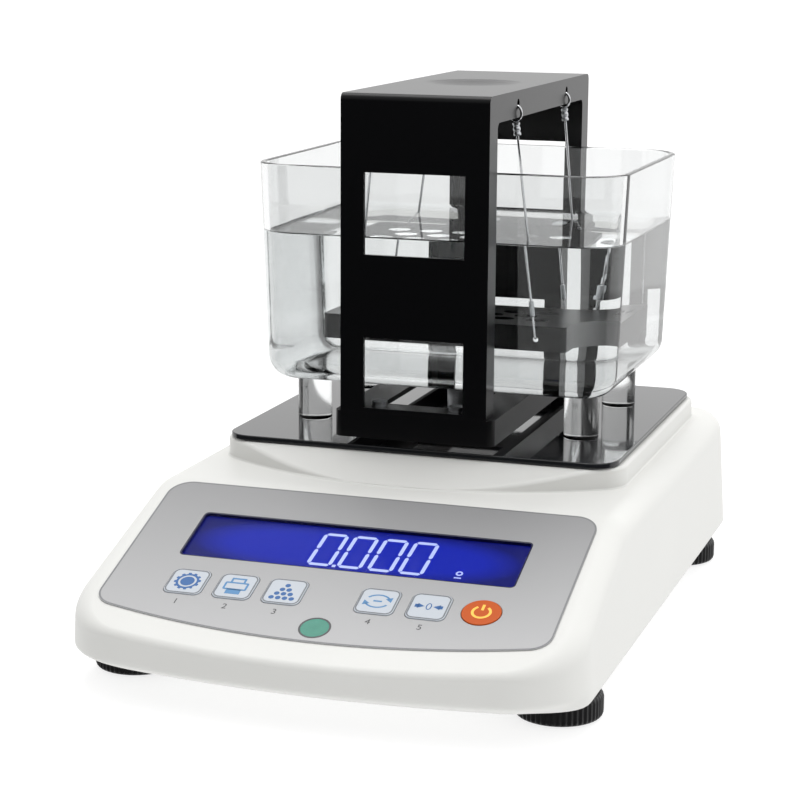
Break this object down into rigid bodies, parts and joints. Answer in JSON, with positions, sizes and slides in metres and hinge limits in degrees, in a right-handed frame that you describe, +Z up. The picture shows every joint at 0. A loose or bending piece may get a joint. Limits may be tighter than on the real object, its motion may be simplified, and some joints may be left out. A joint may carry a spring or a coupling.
{
  "type": "benchtop density meter",
  "caption": "Electronic density balance with a clear water tank, a hanging perforated tray under a black weighing arch, and a sloped key panel.",
  "frame": {"origin": "on the bench under the centre of the housing's bounding box", "axes": "+X to the right, +Y to the rear, +Z up"},
  "size_m": [0.22, 0.343, 0.2368],
  "materials": {
    "housing_shell": "fine moulded texture",
    "cover_plastic": "moulded",
    "overlay_film": "printed polyester film",
    "window_lens": "clear polished",
    "display": "glass-faced display",
    "board": "solder mask",
    "key_plastic": "satin moulded",
    "power_key_plastic": "satin moulded",
    "switch_plastic": "moulded",
    "vial_acrylic": "polished",
    "vial_lens": "polished",
    "machined_aluminium": "machined",
    "screw_steel": "zinc plated",
    "steel_bracket": "plain",
    "socket_plastic": "moulded",
    "black_acrylic": "polished sheet",
    "black_paint": "satin powder coat",
    "clear_acrylic": "moulded clear",
    "wire_steel": "bright drawn wire",
    "foot_rubber": "matt",
    "knob_plastic": "ribbed moulded",
    "insert_brass": "machined",
    "cable_grey": "PVC"
  },
  "bodies": {
    "housing": {"upper_housing": "housing_shell", "bottom_cover": "cover_plastic", "housing_screws": "screw_steel", "control_overlay": "overlay_film", "display_window": "window_lens", "lcd_module": "display", "control_board": "board", "board_screws": "screw_steel", "key_switches": "switch_plastic", "level_vial": "vial_acrylic", "vial_cap": "vial_lens", "load_cell": "machined_aluminium", "load_cell_spacers": "machined_aluminium", "load_cell_bolts": "screw_steel", "pan_support": "steel_bracket", "main_board": "board", "main_board_screws": "screw_steel", "dc_inlet": "socket_plastic", "serial_port": "steel_bracket", "tank_platform": "black_acrylic", "platform_pegs": "socket_plastic", "arch_base": "black_paint", "hub_screw": "screw_steel", "weighing_arch": "black_paint", "arch_screws": "screw_steel", "foot_inserts": "insert_brass", "ribbon_cable": "cable_grey", "cell_cable": "cable_grey", "port_wires": "cable_grey"},
    "function_key_1_body": {"function_key_1": "key_plastic"},
    "function_key_2_body": {"function_key_2": "key_plastic"},
    "function_key_3_body": {"function_key_3": "key_plastic"},
    "function_key_4_body": {"function_key_4": "key_plastic"},
    "function_key_5_body": {"function_key_5": "key_plastic"},
    "power_key_body": {"power_key": "power_key_plastic"},
    "tank": {"water_tank": "clear_acrylic", "tank_legs": "clear_acrylic"},
    "left_hangers": {"hangers_left": "wire_steel", "ferrules_left": "wire_steel"},
    "right_hangers": {"hangers_right": "wire_steel", "ferrules_right": "wire_steel"},
    "tray": {"hanging_tray": "black_paint"},
    "foot_pad_fl_body": {"foot_pad_fl": "foot_rubber"},
    "foot_screw_fl": {"foot_knob_fl": "knob_plastic", "foot_stud_fl": "screw_steel"},
    "foot_pad_fr_body": {"foot_pad_fr": "foot_rubber"},
    "foot_screw_fr": {"foot_knob_fr": "knob_plastic", "foot_stud_fr": "screw_steel"},
    "foot_pad_rl_body": {"foot_pad_rl": "foot_rubber"},
    "foot_screw_rl": {"foot_knob_rl": "knob_plastic", "foot_stud_rl": "screw_steel"},
    "foot_pad_rr_body": {"foot_pad_rr": "foot_rubber"},
    "foot_screw_rr": {"foot_knob_rr": "knob_plastic", "foot_stud_rr": "screw_steel"}
  },
  "joints": [
    {"name": "function_key_1_press", "type": "slide", "parent": "housing", "child": "function_key_1_body", "axis": [0, 0.342, -0.9397], "range_m": [0, 0.0005], "stiffness_N_per_m": 1500, "springref_m": -0.0004},
    {"name": "function_key_2_press", "type": "slide", "parent": "housing", "child": "function_key_2_body", "axis": [0, 0.342, -0.9397], "range_m": [0, 0.0005], "stiffness_N_per_m": 1500, "springref_m": -0.0004},
    {"name": "function_key_3_press", "type": "slide", "parent": "housing", "child": "function_key_3_body", "axis": [0, 0.342, -0.9397], "range_m": [0, 0.0005], "stiffness_N_per_m": 1500, "springref_m": -0.0004},
    {"name": "function_key_4_press", "type": "slide", "parent": "housing", "child": "function_key_4_body", "axis": [0, 0.342, -0.9397], "range_m": [0, 0.0005], "stiffness_N_per_m": 1500, "springref_m": -0.0004},
    {"name": "function_key_5_press", "type": "slide", "parent": "housing", "child": "function_key_5_body", "axis": [0, 0.342, -0.9397], "range_m": [0, 0.0005], "stiffness_N_per_m": 1500, "springref_m": -0.0004},
    {"name": "power_key_press", "type": "slide", "parent": "housing", "child": "power_key_body", "axis": [0, 0.342, -0.9397], "range_m": [0, 0.0005], "stiffness_N_per_m": 1500, "springref_m": -0.0004},
    {"name": "left_hanger_swing", "type": "hinge", "parent": "housing", "child": "left_hangers", "pos_m": [-0.0328, 0.065, 0.22998], "axis": [0, 1, 0], "range_deg": [-4, 4]},
    {"name": "right_hanger_swing", "type": "hinge", "parent": "housing", "child": "right_hangers", "pos_m": [0.0328, 0.065, 0.22998], "axis": [0, 1, 0], "range_deg": [-4, 4]},
    {"name": "tray_tilt", "type": "hinge", "parent": "left_hangers", "child": "tray", "pos_m": [-0.044, 0.065, 0.1265], "axis": [0, 1, 0], "range_deg": [-3, 3]},
    {"name": "tank_shift", "type": "slide", "parent": "housing", "child": "tank", "axis": [1, 0, 0], "range_m": [-0.012, 0.012]},
    {"name": "foot_lift_fl", "type": "slide", "parent": "housing", "child": "foot_pad_fl_body", "axis": [0, 0, -1], "range_m": [0, 0.005]},
    {"name": "foot_turn_fl", "type": "hinge", "parent": "foot_pad_fl_body", "child": "foot_screw_fl", "pos_m": [-0.092, -0.1139, 0.006], "axis": [0, 0, 1], "range_deg": [0, 1800]},
    {"name": "foot_lift_fr", "type": "slide", "parent": "housing", "child": "foot_pad_fr_body", "axis": [0, 0, -1], "range_m": [0, 0.005]},
    {"name": "foot_turn_fr", "type": "hinge", "parent": "foot_pad_fr_body", "child": "foot_screw_fr", "pos_m": [0.092, -0.1139, 0.006], "axis": [0, 0, 1], "range_deg": [0, 1800]},
    {"name": "foot_lift_rl", "type": "slide", "parent": "housing", "child": "foot_pad_rl_body", "axis": [0, 0, -1], "range_m": [0, 0.005]},
    {"name": "foot_turn_rl", "type": "hinge", "parent": "foot_pad_rl_body", "child": "foot_screw_rl", "pos_m": [-0.092, 0.1245, 0.006], "axis": [0, 0, 1], "range_deg": [0, 1800]},
    {"name": "foot_lift_rr", "type": "slide", "parent": "housing", "child": "foot_pad_rr_body", "axis": [0, 0, -1], "range_m": [0, 0.005]},
    {"name": "foot_turn_rr", "type": "hinge", "parent": "foot_pad_rr_body", "child": "foot_screw_rr", "pos_m": [0.092, 0.1245, 0.006], "axis": [0, 0, 1], "range_deg": [0, 1800]}
  ],
  "couplings": [
    {"joint": "right_hanger_swing", "follows": "left_hanger_swing", "ratio": 1},
    {"joint": "tray_tilt", "follows": "left_hanger_swing", "ratio": -0.74545},
    {"joint": "foot_turn_fl", "follows": "foot_lift_fl", "rad_per_m": 6283.2},
    {"joint": "foot_turn_fr", "follows": "foot_lift_fr", "rad_per_m": 6283.2},
    {"joint": "foot_turn_rl", "follows": "foot_lift_rl", "rad_per_m": 6283.2},
    {"joint": "foot_turn_rr", "follows": "foot_lift_rr", "rad_per_m": 6283.2}
  ]
}
